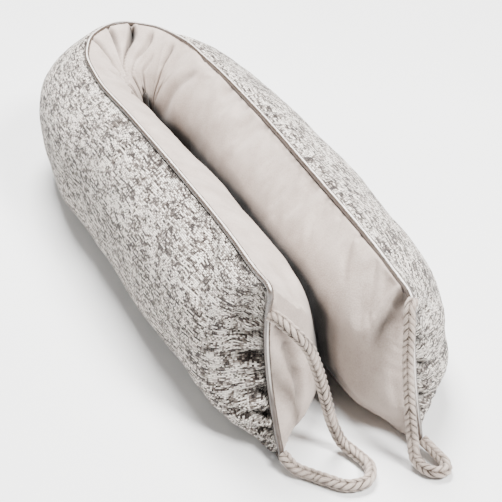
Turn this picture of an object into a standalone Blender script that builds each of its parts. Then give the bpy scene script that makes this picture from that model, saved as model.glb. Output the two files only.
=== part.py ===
"""Stuffed draught excluder, folded into a U and standing on its long bottom seam.

Two filled panels meet on the seam's middle surface: woven cloth on the outside of the U and
fleece on the inside. A piping runs in a closed ring round the seam, and a plaited rope handle
is sewn into the end seam at each end. Lengths in the tables are millimetres.
"""

import math
from collections import namedtuple

import bmesh
import bpy
from mathutils import Vector

MM = 0.001
UP = Vector((0.0, 0.0, 1.0))

# Driving sizes of the filled body
OUTER_LEFT = 56.0
OUTER_BEND = 58.0
OUTER_RIGHT = 72.0
INNER_LEFT = 56.0
INNER_RIGHT = 44.0
SAG = 30.0
SAG_REACH = 50.0
CREST_HEIGHT = 60.0
LENS_POWER = 3.0
LEFT_LEG = 455.0
RIGHT_LEG = 465.0
POCKET_X = 14.0
POCKET_Y = 505.0
POCKET_RADIUS = 7.5
RIM_BLEND = 70.0

# Ends of the body: taper towards the end seam, its inward bow and its rounded corners
OUTER_TAPER = 45.0
INNER_TAPER = 30.0
TAPER_POWER = 0.72
BOW_LEFT = 30.0
BOW_RIGHT = 8.0
RAKE_LEFT = 18.0
RAKE_RIGHT = 25.0
BOW_REACH = 60.0
CORNER_RADIUS = 10.0
GATHER_DEPTH = 0.13
GATHER_PITCH = 38.0
GATHER_REACH = 30.0

# Seam, piping and the small gaps between neighbours
PIPING_RADIUS = 2.5
PIPING_LIFT = 0.3
SEAM_GAP = 0.75
PANEL_GAP = 0.15
LIP_ANGLE_END = math.radians(22.0)
LIP_ANGLE_TOP = math.radians(76.0)
LIP_ANGLE_FLOOR = math.radians(55.0)
LIP_FLOOR_WIDTH = 3.7
LIP_START = 5.0
LIP_FULL = 16.0
FOOT_FULL = 26.0
THINNEST = 0.5

# Rope handles
ROPE_RADIUS = 4.9
ROPE_GAP = 0.5
ROPE_LEAD = 5.0
ROPE_TURN = math.radians(45.0)
ROPE_TOP_LEFT = 130.0
ROPE_TOP_RIGHT = 130.0
ROPE_BOTTOM = 12.5
ROPE_BOTTOM_GAP = 3.0
PLAIT_DEPTH = 0.5
PLAIT_PITCH = 18.0
ROPE_STEP = 2.8
ROPE_BEVEL = 3

# Spacing of the sections along the seam
LEG_STEP = 28.0
BEND_STEP = 11.0
END_STEPS = (16.0, 24.0, 34.0, 46.0, 60.0)
ARC_PARTS = 3
SKIN_LEVELS = (1.0, 0.95, 0.86, 0.74, 0.6, 0.46, 0.33, 0.2, 0.09, 0.0)

# The top seam seen from above, from the left end round the bend to the right end
SeamRow = namedtuple("SeamRow", "x y top lean")
SEAM_ROUTE = (
    SeamRow(-37, 33, 161, 6),
    SeamRow(-34, 75, 152, 9),
    SeamRow(-33, 125, 150, 11),
    SeamRow(-38, 240, 150, 11),
    SeamRow(-46, 363, 150, 11),
    SeamRow(-52, 470, 149, 11),
    SeamRow(-45, 533, 150, 11),
    SeamRow(-25, 573, 152, 11),
    SeamRow(5, 590, 153, 11),
    SeamRow(36, 575, 151, 11),
    SeamRow(57, 532, 150, 11),
    SeamRow(65, 465, 150, 11),
    SeamRow(70, 340, 150, 11),
    SeamRow(70, 200, 149, 11),
    SeamRow(71, 90, 145, 9),
    SeamRow(73, 22, 136, 4),
)

# Folds of the inner panel round the bend: place along the bend from 0 to 1, depth and half width
PleatRow = namedtuple("PleatRow", "place depth width")
PLEATS = (
    PleatRow(0.14, 5.0, 0.05),
    PleatRow(0.33, 9.0, 0.05),
    PleatRow(0.45, 9.0, 0.04),
    PleatRow(0.55, 15.0, 0.045),
    PleatRow(0.65, 8.0, 0.04),
    PleatRow(0.78, 9.0, 0.05),
    PleatRow(0.96, 6.0, 0.05),
)

# Free route of each rope handle, from under its upper end at the seam to its lower end
RopeRow = namedtuple("RopeRow", "x y z")
LEFT_ROPE = (
    RopeRow(-22, 27, 121),
    RopeRow(-11, 25, 106),
    RopeRow(-3, 25, 85),
    RopeRow(5, 24, 54),
    RopeRow(12, 23, 26),
    RopeRow(18.5, 17, 9.5),
    RopeRow(25, 4, 5.9),
    RopeRow(28, -13, 5.9),
    RopeRow(20, -26, 5.9),
    RopeRow(4, -26, 5.9),
    RopeRow(-9, -14, 5.9),
    RopeRow(-19, -3, 6.0),
    RopeRow(-27, 4, 8.0),
)
RIGHT_ROPE = (
    RopeRow(65, 8, 116),
    RopeRow(62, 1, 90),
    RopeRow(62, -7, 56),
    RopeRow(63, -15, 24),
    RopeRow(64, -20, 9.5),
    RopeRow(67, -28, 5.9),
    RopeRow(73, -36, 5.9),
    RopeRow(81, -37, 5.9),
    RopeRow(85, -29, 5.9),
    RopeRow(83, -20, 7.5),
)


def smooth(value):
    """Return a soft step from 0 to 1 for a value that is cut off at both ends."""
    value = min(max(value, 0.0), 1.0)
    return value * value * (3.0 - 2.0 * value)


def mix(first, second, share):
    """Return the value that lies a share of the way from the first to the second."""
    return first + (second - first) * share


def spline(points, samples):
    """Return a smooth curve through the points, with equal samples on each span."""
    spans = [(after - before).length for before, after in zip(points, points[1:])]
    slopes = [(after - before) / span for before, after, span in zip(points, points[1:], spans)]
    tangents = [slopes[0]]
    for index in range(1, len(slopes)):
        weight = spans[index - 1] / (spans[index - 1] + spans[index])
        tangents.append(slopes[index - 1].lerp(slopes[index], weight))
    tangents.append(slopes[-1])
    curve = []
    for index, span in enumerate(spans):
        for step in range(samples):
            u = step / samples
            start = points[index] * (2 * u ** 3 - 3 * u ** 2 + 1)
            end = points[index + 1] * (3 * u ** 2 - 2 * u ** 3)
            leave = tangents[index] * span * (u ** 3 - 2 * u ** 2 + u)
            arrive = tangents[index + 1] * span * (u ** 3 - u ** 2)
            curve.append(start + end + leave + arrive)
    curve.append(points[-1].copy())
    return curve


class Route:
    """A curve that can be read at any distance along it, and straight on past its ends."""

    def __init__(self, points, samples=24):
        self.points = spline(points, samples)
        self.marks = [0.0]
        for before, after in zip(self.points, self.points[1:]):
            self.marks.append(self.marks[-1] + (after - before).length)
        self.length = self.marks[-1]

    def at(self, distance):
        """Return the point at a distance along the curve."""
        index = 0
        while index < len(self.marks) - 2 and self.marks[index + 1] < distance:
            index += 1
        span = self.marks[index + 1] - self.marks[index]
        share = (distance - self.marks[index]) / span
        return self.points[index].lerp(self.points[index + 1], share)

    def heading(self, distance):
        """Return the unit direction of the curve at a distance along it."""
        reach = 6.0
        place = min(max(distance, reach), self.length - reach)
        return (self.at(place + reach) - self.at(place - reach)).normalized()


class Seam:
    """The middle surface between the panels, and how far each panel stands off it."""

    def __init__(self):
        plan = [Vector((row.x, row.y, 0.0)) for row in SEAM_ROUTE]
        self.plan = Route(plan)
        marks = [0.0]
        for before, after in zip(plan, plan[1:]):
            marks.append(marks[-1] + (after - before).length)
        rows = [Vector((mark, row.top, row.lean)) for mark, row in zip(marks, SEAM_ROUTE)]
        self.profile = spline(rows, 12)
        self.chord = marks[-1]
        self.length = self.plan.length
        self.bend_start = LEFT_LEG
        self.bend_end = self.length - RIGHT_LEG

    def top_and_lean(self, s):
        """Return the seam's height and its lean at a distance along it."""
        mark = min(max(s * self.chord / self.length, 0.0), self.chord)
        index = 0
        while index < len(self.profile) - 2 and self.profile[index + 1].x < mark:
            index += 1
        before = self.profile[index]
        after = self.profile[index + 1]
        share = (mark - before.x) / (after.x - before.x)
        row = before.lerp(after, share)
        return row.y, row.z

    def outward(self, s):
        """Return the level direction out of the U at a distance along the seam."""
        heading = self.plan.heading(s)
        return Vector((-heading.y, heading.x, 0.0))

    def point(self, s, z):
        """Return the point of the middle surface at a distance and a height."""
        top, lean = self.top_and_lean(s)
        level = z / top
        place = self.plan.at(s) + Vector((lean * (1.0 - level), 0.0, z))
        arch = 4.0 * level * (1.0 - level)
        left = math.exp(-max(s, 0.0) / BOW_REACH)
        right = math.exp(-max(self.length - s, 0.0) / BOW_REACH)
        shift = (BOW_LEFT * arch - RAKE_LEFT * (1.0 - level)) * left
        shift -= (BOW_RIGHT * arch - RAKE_RIGHT * (1.0 - level)) * right
        return place + self.plan.heading(s) * shift

    def from_end(self, s):
        """Return the distance to the nearer end of the seam."""
        return min(s, self.length - s)

    def taper(self, s, length):
        """Return the share of its full thickness that a panel has near its ends."""
        return (1.0 - math.exp(-max(self.from_end(s), 0.0) / length)) ** TAPER_POWER

    def outer_reach(self, s):
        """Return the vector from the middle surface to the outer panel's crest."""
        side = smooth((s - self.bend_start) / (self.bend_end - self.bend_start))
        bend = math.sin(math.pi * side)
        width = mix(mix(OUTER_LEFT, OUTER_RIGHT, side), OUTER_BEND, bend)
        return self.outward(s) * width * self.taper(s, OUTER_TAPER)

    def inner_reach(self, s):
        """Return the vector from the middle surface to the inner panel's crest.

        Along a leg the crest runs beside the seam. Round the bend it gathers on a small half
        circle, the pocket that the folds of the panel run to.
        """
        middle = self.point(s, CREST_HEIGHT)
        share = min(max((s - self.bend_start) / (self.bend_end - self.bend_start), 0.0), 1.0)
        turn = math.pi * share
        round_pocket = Vector((-math.cos(turn), math.sin(turn), 0.0)) * POCKET_RADIUS
        pocket = Vector((POCKET_X, POCKET_Y, CREST_HEIGHT)) + round_pocket
        width = INNER_LEFT if share < 0.5 else INNER_RIGHT
        beside = self.outward(s) * -width * self.taper(s, INNER_TAPER)
        outside = max(self.bend_start - s, s - self.bend_end, 0.0)
        gathered = smooth(1.0 - outside / RIM_BLEND)
        return beside.lerp(pocket - middle, gathered)

    def pleat(self, s):
        """Return how deep the folds of the inner panel are at a distance along the seam."""
        share = (s - self.bend_start) / (self.bend_end - self.bend_start)
        return sum(row.depth * math.exp(-((share - row.place) / row.width) ** 2) for row in PLEATS)

    def stations(self):
        """Return the distances of the sections, closer together at the ends and the bend."""
        quarter = math.pi / 2.0
        arc = [CORNER_RADIUS * (1.0 - math.cos(quarter * k / ARC_PARTS)) for k in range(ARC_PARTS + 1)]
        end = arc + list(END_STEPS)
        places = list(end)
        for start, stop, step in (
            (end[-1], self.bend_start, LEG_STEP),
            (self.bend_start, self.bend_end, BEND_STEP),
            (self.bend_end, self.length - end[-1], LEG_STEP),
        ):
            count = round((stop - start) / step)
            places += [start + (stop - start) * k / count for k in range(1, count + 1)]
        places += [self.length - place for place in reversed(end[:-1])]
        return places

    def corner_drop(self, s):
        """Return how far the panels' rounded corner falls below its full height."""
        short = max(CORNER_RADIUS - max(self.from_end(s), 0.0), 0.0)
        return CORNER_RADIUS - math.sqrt(CORNER_RADIUS ** 2 - short ** 2)


def edge_heights(seam, s):
    """Return the lowest and highest level of the middle surface in a section."""
    top, _ = seam.top_and_lean(s)
    beside = 2.0 * PIPING_RADIUS + SEAM_GAP
    drop = seam.corner_drop(s)
    return PIPING_LIFT + beside + drop, top - beside - drop


def section(seam, s, side):
    """Return the closed outline of one panel's section, from its upper groove round its skin.

    The outline runs from the upper groove down the skin to the floor, into the lower groove and
    back up the middle surface. Side is 1 for the outer panel and -1 for the inner one.
    """
    low, high = edge_heights(seam, s)
    reach = seam.outer_reach(s) if side > 0 else seam.inner_reach(s)
    width = max(reach.length, THINNEST)
    direction = reach.normalized() if reach.length > THINNEST else seam.outward(s) * side
    from_end = max(seam.from_end(s), 0.0)
    opening = smooth((from_end - LIP_START) / (LIP_FULL - LIP_START))
    landing = smooth((from_end - LIP_FULL) / (FOOT_FULL - LIP_FULL))
    clear = PIPING_RADIUS + SEAM_GAP

    def beside(lateral, z, stand=0.0):
        """Place a point at a level, off the middle surface and then on towards the crest."""
        return seam.point(s, z) + seam.outward(s) * side * lateral + direction * stand

    def on_groove(angle, edge, way):
        """Place a point on the groove that follows the piping's round from the panel's edge."""
        return clear * math.sin(angle), edge + way * clear * (1.0 - math.cos(angle))

    upper_angle = mix(LIP_ANGLE_END, LIP_ANGLE_TOP, opening)
    foot_angle = mix(LIP_ANGLE_END, math.pi / 2.0, opening)
    lip_width, lip_height = on_groove(upper_angle, high, 1.0)
    upper = on_groove(upper_angle / 2.0, high, 1.0)
    lower = on_groove(mix(foot_angle / 2.0, LIP_ANGLE_FLOOR, landing), low, -1.0)
    foot_width, foot_height = on_groove(foot_angle, low, -1.0)
    foot_width = mix(foot_width, LIP_FLOOR_WIDTH, landing)
    foot_height = mix(foot_height, 0.0, landing)

    sag = SAG * smooth(from_end / SAG_REACH)
    outline = [beside(*upper)]
    for level in SKIN_LEVELS:
        z = mix(foot_height, lip_height, level)
        t = (z - foot_height + sag) / (lip_height - foot_height + sag)
        lens = 1.0 - abs(2.0 * t - 1.0) ** LENS_POWER
        stand = width * lens
        if side > 0:
            wave = math.cos(2.0 * math.pi * z / GATHER_PITCH) * math.exp(-from_end / GATHER_REACH)
            stand *= 1.0 + GATHER_DEPTH * wave
        else:
            stand -= seam.pleat(s) * 4.0 * lens * max(1.0 - lens, 0.0)
        lip = mix(foot_width, lip_width, level)
        outline.append(beside(lip, z, stand))
    outline.append(beside(foot_width, foot_height))
    outline.append(beside(*lower))
    middle = [seam.point(s, mix(low, high, level)) for level in reversed(SKIN_LEVELS)]
    return outline, [point + seam.outward(s) * side * PANEL_GAP for point in middle]


def close_end(mesh, skin, middle):
    """Close the open end of a panel with triangles between its skin and its middle surface."""
    middle = list(reversed(middle))
    i = 0
    j = 0
    while i < len(skin) - 1 or j < len(middle) - 1:
        step_skin = j == len(middle) - 1
        if not step_skin and i < len(skin) - 1:
            across_skin = (skin[i + 1].co - middle[j].co).length
            across_middle = (skin[i].co - middle[j + 1].co).length
            step_skin = across_skin < across_middle
        if step_skin:
            mesh.faces.new((skin[i], skin[i + 1], middle[j]))
            i += 1
        else:
            mesh.faces.new((skin[i], middle[j + 1], middle[j]))
            j += 1


def add_panel(seam, name, side, colour, roughness, collection):
    """Loft one filled panel through its sections and close both of its ends."""
    mesh = bmesh.new()
    rings = []
    ends = []
    for s in seam.stations():
        skin, middle = section(seam, s, side)
        skin_verts = [mesh.verts.new(point * MM) for point in skin]
        middle_verts = [mesh.verts.new(point * MM) for point in middle]
        rings.append(skin_verts + middle_verts)
        ends.append((skin_verts, middle_verts))
    for before, after in zip(rings, rings[1:]):
        count = len(before)
        for k in range(count):
            following = (k + 1) % count
            mesh.faces.new((before[k], after[k], after[following]))
            mesh.faces.new((before[k], after[following], before[following]))
    close_end(mesh, *ends[0])
    close_end(mesh, *ends[-1])
    bmesh.ops.recalc_face_normals(mesh, faces=mesh.faces)
    return finish_object(mesh, name, colour, roughness, collection)


def piping_ring(seam):
    """Return the closed line of the piping round the panels' edge."""
    clear = PIPING_RADIUS + SEAM_GAP
    beyond = CORNER_RADIUS + clear
    angles = [math.pi / 2.0 * k / (ARC_PARTS + 1) for k in range(1, ARC_PARTS + 1)]
    runs = [s for s in seam.stations() if seam.from_end(s) >= CORNER_RADIUS - 1e-6]
    ring = []
    for s in runs:
        ring.append((s, edge_heights(seam, s)[1] + clear))

    def end_side(end, inward):
        """Return one end's points from its upper corner down to its lower corner."""
        low, high = edge_heights(seam, end)
        centre = end + inward * CORNER_RADIUS
        points = []
        for angle in angles:
            s = centre - inward * beyond * math.sin(angle)
            slope = seam.top_and_lean(s)[0] - seam.top_and_lean(end)[0]
            points.append((s, high + slope + beyond * math.cos(angle)))
        for level in SKIN_LEVELS:
            points.append((end - inward * clear, mix(low, high, level)))
        for angle in reversed(angles):
            points.append((centre - inward * beyond * math.sin(angle), low - beyond * math.cos(angle)))
        return points

    ring += end_side(seam.length, -1.0)
    for s in reversed(runs):
        ring.append((s, edge_heights(seam, s)[0] - clear))
    ring += list(reversed(end_side(0.0, 1.0)))
    return [seam.point(s, z) for s, z in ring]


def tube(name, points, radius, bevel, cyclic, collection):
    """Return the mesh of a round tube along the points, welded shut."""
    curve = bpy.data.curves.new(name, "CURVE")
    curve.dimensions = "3D"
    curve.bevel_depth = radius * MM
    curve.bevel_resolution = bevel
    curve.use_fill_caps = not cyclic
    line = curve.splines.new("POLY")
    line.points.add(len(points) - 1)
    for place, point in zip(line.points, points):
        place.co = (*(point * MM), 1.0)
    line.use_cyclic_u = cyclic
    guide = bpy.data.objects.new(name + "_line", curve)
    collection.objects.link(guide)
    depsgraph = bpy.context.evaluated_depsgraph_get()
    made = bpy.data.meshes.new_from_object(guide.evaluated_get(depsgraph))
    mesh = bmesh.new()
    mesh.from_mesh(made)
    bpy.data.objects.remove(guide)
    bpy.data.curves.remove(curve)
    bpy.data.meshes.remove(made)
    bmesh.ops.remove_doubles(mesh, verts=mesh.verts, dist=0.00002)
    bmesh.ops.triangulate(mesh, faces=mesh.faces)
    return mesh


def plait(mesh, points):
    """Raise the crossings of a plaited rope in the points of its tube."""
    tangents = []
    for index in range(len(points)):
        before = points[max(index - 1, 0)]
        after = points[min(index + 1, len(points) - 1)]
        tangents.append((after - before).normalized())
    across = tangents[0].cross(UP).normalized()
    frames = []
    for tangent in tangents:
        across = (across - tangent * across.dot(tangent)).normalized()
        frames.append((across.copy(), tangent.cross(across)))
    along = [0.0]
    for before, after in zip(points, points[1:]):
        along.append(along[-1] + (after - before).length)
    for vert in mesh.verts:
        place = vert.co / MM
        nearest = min(range(len(points)), key=lambda k: (points[k] - place).length_squared)
        spoke = place - points[nearest]
        side, over = frames[nearest]
        angle = math.atan2(spoke.dot(over), spoke.dot(side))
        lift = math.cos(2.0 * angle) * math.cos(2.0 * math.pi * along[nearest] / PLAIT_PITCH)
        vert.co += spoke.normalized() * PLAIT_DEPTH * lift * MM


def rope_points(seam, end, top, rows):
    """Return a handle's line: off the piping on the fleece side, along its rows, and back."""
    inward = 1.0 if end < seam.length / 2.0 else -1.0
    edge = seam.point(end, top)
    climb = (seam.point(end, top + 1.0) - edge).normalized()
    away = climb.cross(seam.outward(end)) * inward
    lead = away * math.cos(ROPE_TURN) - seam.outward(end) * math.sin(ROPE_TURN)
    beyond = CORNER_RADIUS + PIPING_RADIUS + SEAM_GAP
    rise = max(top - ROPE_RADIUS - edge_heights(seam, end)[1], 0.0)
    roll = edge + away * (math.sqrt(beyond ** 2 - rise ** 2) - CORNER_RADIUS)
    start = [roll + lead * (PIPING_RADIUS + ROPE_GAP)]
    start.append(start[0] + lead * ROPE_LEAD)
    front = 2.0 * PIPING_RADIUS + SEAM_GAP + ROPE_GAP
    finish = seam.point(end - inward * (front + ROPE_BOTTOM_GAP), ROPE_BOTTOM)
    route = Route(start + [Vector(row) for row in rows] + [finish], 16)
    count = round(route.length / ROPE_STEP)
    return [route.at(route.length * k / count) for k in range(count + 1)]


def add_rope(name, points, colour, roughness, collection):
    """Model one plaited rope handle along its line."""
    mesh = tube(name, points, ROPE_RADIUS, ROPE_BEVEL, False, collection)
    plait(mesh, points)
    return finish_object(mesh, name, colour, roughness, collection)


def add_piping(seam, name, colour, roughness, collection):
    """Model the closed ring of piping in the seam."""
    mesh = tube(name, piping_ring(seam), PIPING_RADIUS, 1, True, collection)
    return finish_object(mesh, name, colour, roughness, collection)


def cloth_material(name, colour, roughness):
    """Return a matt material for a textile piece."""
    material = bpy.data.materials.new(name)
    material.use_nodes = True
    shader = material.node_tree.nodes["Principled BSDF"]
    shader.inputs["Base Color"].default_value = (*colour, 1.0)
    shader.inputs["Roughness"].default_value = roughness
    shader.inputs["Metallic"].default_value = 0.0
    return material


def finish_object(mesh, name, colour, roughness, collection):
    """Turn a bmesh into a smooth shaded object with its own material."""
    data = bpy.data.meshes.new(name)
    mesh.to_mesh(data)
    mesh.free()
    data.shade_smooth()
    data.materials.append(cloth_material(name, colour, roughness))
    made = bpy.data.objects.new(name, data)
    collection.objects.link(made)
    return made


def centre_on_floor(body, others):
    """Move everything so that the body's box is centred on the origin."""
    corners = [vert.co for piece in body for vert in piece.data.vertices]
    middle_x = (min(co.x for co in corners) + max(co.x for co in corners)) / 2.0
    middle_y = (min(co.y for co in corners) + max(co.y for co in corners)) / 2.0
    shift = Vector((-middle_x, -middle_y, 0.0))
    for piece in body + others:
        for vert in piece.data.vertices:
            vert.co += shift


def main():
    """Build the draught excluder."""
    for leftover in list(bpy.data.objects):
        bpy.data.objects.remove(leftover)
    collection = bpy.data.collections.new("draught_excluder")
    bpy.context.scene.collection.children.link(collection)
    seam = Seam()
    woven = add_panel(seam, "woven_panel", 1.0, (0.50, 0.47, 0.44), 0.95, collection)
    fleece = add_panel(seam, "fleece_panel", -1.0, (0.55, 0.49, 0.45), 0.98, collection)
    piping = add_piping(seam, "piping", (0.42, 0.36, 0.31), 0.45, collection)
    left_line = rope_points(seam, 0.0, ROPE_TOP_LEFT, LEFT_ROPE)
    right_line = rope_points(seam, seam.length, ROPE_TOP_RIGHT, RIGHT_ROPE)
    ropes = [
        add_rope("handle_left", left_line, (0.58, 0.53, 0.49), 0.9, collection),
        add_rope("handle_right", right_line, (0.58, 0.53, 0.49), 0.9, collection),
    ]
    centre_on_floor([woven, fleece, piping], ropes)


main()
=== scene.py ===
"""Dressed scene of a stuffed draught excluder, folded into a U and standing on its bottom seam.

Woven cloth covers the outside of the U and fleece the inside. A satin piping runs round the
seam between them, and a plaited cotton rope handle is sewn into the seam at each end. Sizes are
millimetres in the seam's own frame, which the body's box places on the floor.
"""

import bisect
import logging
import math
from dataclasses import dataclass
from enum import Enum
from typing import Callable, NamedTuple

import bmesh
import bpy
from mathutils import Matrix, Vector, noise
from mathutils.bvhtree import BVHTree

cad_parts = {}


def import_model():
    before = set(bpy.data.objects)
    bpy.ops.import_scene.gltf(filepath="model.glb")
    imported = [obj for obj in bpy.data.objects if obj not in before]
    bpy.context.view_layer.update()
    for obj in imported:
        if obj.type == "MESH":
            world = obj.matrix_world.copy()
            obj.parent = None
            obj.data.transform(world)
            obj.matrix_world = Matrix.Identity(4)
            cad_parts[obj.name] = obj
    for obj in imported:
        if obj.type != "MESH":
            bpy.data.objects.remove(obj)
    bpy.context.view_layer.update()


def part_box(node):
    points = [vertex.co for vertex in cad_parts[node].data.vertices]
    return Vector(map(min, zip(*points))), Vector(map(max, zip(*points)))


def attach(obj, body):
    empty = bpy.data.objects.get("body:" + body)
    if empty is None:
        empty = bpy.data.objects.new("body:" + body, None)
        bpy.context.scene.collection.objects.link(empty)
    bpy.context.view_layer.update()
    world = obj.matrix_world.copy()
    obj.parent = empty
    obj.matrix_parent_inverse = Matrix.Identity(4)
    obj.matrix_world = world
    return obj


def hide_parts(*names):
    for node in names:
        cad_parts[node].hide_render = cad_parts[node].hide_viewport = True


LOG = logging.getLogger("draught_excluder")

MM = 0.001
# Limits of the painted shade: its darkest tone in folds, and where shut-in cloth starts and stops darkening.
FOLD_SHADE_FLOOR = 0.35
SHUT_SHADE_FROM = 0.08
SHUT_SHADE_FULL = 0.85
UP = Vector((0.0, 0.0, 1.0))

Colour = tuple[float, float, float]


class Side(Enum):
    """The side of the seam that a panel lies on."""

    WOVEN = 1.0
    FLEECE = -1.0


class SeamRow(NamedTuple):
    """One point of the top seam from above, with its height and its lean."""

    x: float
    y: float
    top: float
    lean: float


class CreaseRow(NamedTuple):
    """A crease that runs out from an end seam: its height there, its fall, depth, width and reach."""

    height: float
    fall: float
    depth: float
    width: float
    reach: float


class ValleyRow(NamedTuple):
    """A long dent of a fleece end: where it starts, how far from the end, and where it runs."""

    height: float
    near: float
    slope: float
    depth: float
    width: float
    low: float


class PleatRow(NamedTuple):
    """A fold of the fleece round the bend, by its place along the bend from 0 to 1."""

    place: float
    depth: float
    width: float
    start: float
    drift: float


class RopeRow(NamedTuple):
    """One point on the free line of a rope handle."""

    x: float
    y: float
    z: float


SEAM_ROUTE = (
    SeamRow(-37, 33, 161, 6),
    SeamRow(-34, 75, 152, 9),
    SeamRow(-33, 125, 150, 11),
    SeamRow(-38, 240, 150, 11),
    SeamRow(-46, 363, 150, 11),
    SeamRow(-52, 470, 149, 11),
    SeamRow(-45, 533, 150, 11),
    SeamRow(-25, 573, 152, 11),
    SeamRow(5, 590, 153, 11),
    SeamRow(36, 575, 151, 11),
    SeamRow(57, 532, 150, 11),
    SeamRow(65, 465, 150, 11),
    SeamRow(70, 340, 150, 11),
    SeamRow(70, 200, 149, 11),
    SeamRow(71, 90, 145, 9),
    SeamRow(73, 22, 136, 4),
)

LEFT_CREASES = (
    CreaseRow(122, 0.10, 4.0, 3.6, 18),
    CreaseRow(106, 0.10, 5.0, 4.0, 22),
    CreaseRow(85, 0.12, 7.0, 4.5, 28),
    CreaseRow(70, 0.15, 4.5, 3.5, 18),
    CreaseRow(54, 0.15, 8.0, 4.0, 28),
    CreaseRow(38, 0.18, 11.0, 3.2, 32),
    CreaseRow(24, 0.25, 7.0, 3.6, 22),
)
RIGHT_CREASES = (
    CreaseRow(112, 0.30, 4.0, 4.0, 22),
    CreaseRow(93, 0.40, 6.0, 3.6, 32),
    CreaseRow(71, 0.40, 7.0, 3.6, 34),
    CreaseRow(57, 0.30, 3.5, 3.2, 20),
    CreaseRow(43, 0.30, 7.0, 3.6, 30),
    CreaseRow(31, 0.20, 5.0, 3.2, 24),
)
FLEECE_CREASES = (
    CreaseRow(112, 0.20, 1.8, 4.0, 12),
    CreaseRow(66, 0.10, 1.4, 4.5, 10),
    CreaseRow(30, -0.30, 0.8, 4.5, 14),
)
LEFT_VALLEY = ValleyRow(108, 3.0, 0.136, 7.5, 2.5, 18)
RIGHT_VALLEY = ValleyRow(133, 7.4, 0.155, 5.6, 3.8, 78)

PLEATS = (
    PleatRow(0.12, 4.0, 0.026, 0.10, -3.0),
    PleatRow(0.225, 4.0, 0.014, 0.10, -7.0),
    PleatRow(0.30, 10.0, 0.017, 0.00, -18.0),
    PleatRow(0.37, 4.5, 0.011, 0.12, -16.0),
    PleatRow(0.433, 9.0, 0.014, 0.00, -14.0),
    PleatRow(0.49, 4.0, 0.010, 0.10, -17.0),
    PleatRow(0.552, 14.0, 0.016, 0.00, -22.5),
    PleatRow(0.652, 7.0, 0.015, 0.02, -15.0),
    PleatRow(0.72, 4.5, 0.014, 0.14, -8.0),
    PleatRow(0.806, 8.0, 0.018, 0.04, 2.6),
    PleatRow(0.95, 4.5, 0.018, 0.22, 2.0),
    PleatRow(1.125, 4.0, 0.022, 0.07, 0.0),
)

LEFT_ROPE = (
    RopeRow(-22, 27, 121),
    RopeRow(-11, 25, 106),
    RopeRow(-3, 25, 85),
    RopeRow(5, 24, 54),
    RopeRow(12, 23, 26),
    RopeRow(18.5, 17, 9.5),
    RopeRow(25, 4, 5.9),
    RopeRow(28, -13, 5.9),
    RopeRow(20, -26, 5.9),
    RopeRow(4, -26, 5.9),
    RopeRow(-9, -14, 5.9),
    RopeRow(-19, -3, 6.0),
    RopeRow(-27, 4, 8.0),
)
RIGHT_ROPE = (
    RopeRow(65, 8, 116),
    RopeRow(62, 1, 90),
    RopeRow(62, -7, 56),
    RopeRow(63, -15, 24),
    RopeRow(64, -20, 9.5),
    RopeRow(67, -28, 5.9),
    RopeRow(73, -36, 5.9),
    RopeRow(81, -37, 5.9),
    RopeRow(85, -29, 5.9),
    RopeRow(83, -20, 7.5),
)


def smooth(value: float) -> float:
    """Return a soft step from 0 to 1 for a value that is cut off at both ends."""
    value = min(max(value, 0.0), 1.0)
    return value * value * (3.0 - 2.0 * value)


def mix(first: float, second: float, share: float) -> float:
    """Return the value that lies a share of the way from the first to the second."""
    return first + (second - first) * share


def spline(points: list[Vector], samples: int) -> list[Vector]:
    """Draw a smooth curve through points.

    Args:
        points: The points that the curve passes through.
        samples: How many samples each span gets.

    Returns:
        The samples, the last point included.
    """
    spans = [(after - before).length for before, after in zip(points, points[1:])]
    slopes = [(after - before) / span for before, after, span in zip(points, points[1:], spans)]
    tangents = [slopes[0]]
    for index in range(1, len(slopes)):
        weight = spans[index - 1] / (spans[index - 1] + spans[index])
        tangents.append(slopes[index - 1].lerp(slopes[index], weight))
    tangents.append(slopes[-1])
    curve = []
    for index, span in enumerate(spans):
        for step in range(samples):
            u = step / samples
            start = points[index] * (2 * u ** 3 - 3 * u ** 2 + 1)
            end = points[index + 1] * (3 * u ** 2 - 2 * u ** 3)
            leave = tangents[index] * span * (u ** 3 - 2 * u ** 2 + u)
            arrive = tangents[index + 1] * span * (u ** 3 - u ** 2)
            curve.append(start + end + leave + arrive)
    curve.append(points[-1].copy())
    return curve


class Route:
    """A line of points that can be read at any distance along it."""

    def __init__(self, points: list[Vector]) -> None:
        """Measure the line.

        Args:
            points: The points of the line, in order.
        """
        self.points = points
        self.marks = [0.0]
        for before, after in zip(points, points[1:]):
            self.marks.append(self.marks[-1] + (after - before).length)
        self.length = self.marks[-1]

    def at(self, distance: float) -> Vector:
        """Return the point at a distance, straight on past the line's ends."""
        index = min(max(bisect.bisect_left(self.marks, distance) - 1, 0), len(self.marks) - 2)
        span = self.marks[index + 1] - self.marks[index]
        return self.points[index].lerp(self.points[index + 1], (distance - self.marks[index]) / span)

    def heading(self, distance: float, reach: float = 6.0) -> Vector:
        """Return the unit direction of the line at a distance along it."""
        place = min(max(distance, reach), self.length - reach)
        return (self.at(place + reach) - self.at(place - reach)).normalized()

    def even(self, count: int) -> list[Vector]:
        """Return points at equal distances from one end of the line to the other."""
        return [self.at(self.length * index / (count - 1)) for index in range(count)]


@dataclass
class Station:
    """The seam's middle surface at one distance along it."""

    s: float
    base: Vector
    heading: Vector
    outward: Vector
    top: float
    lean: float
    from_left: float
    from_right: float
    shape: "SeamShape"

    def point(self, z: float) -> Vector:
        """Return the point of the middle surface at a height."""
        shape = self.shape
        level = z / self.top
        place = self.base + Vector((self.lean * (1.0 - level), 0.0, z))
        arch = 4.0 * level * (1.0 - level)
        left = math.exp(-max(self.from_left, 0.0) / shape.bow_reach)
        right = math.exp(-max(self.from_right, 0.0) / shape.bow_reach)
        shift = (shape.bow_left * arch - shape.rake_left * (1.0 - level)) * left
        shift -= (shape.bow_right * arch - shape.rake_right * (1.0 - level)) * right
        return place + self.heading * shift


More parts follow.
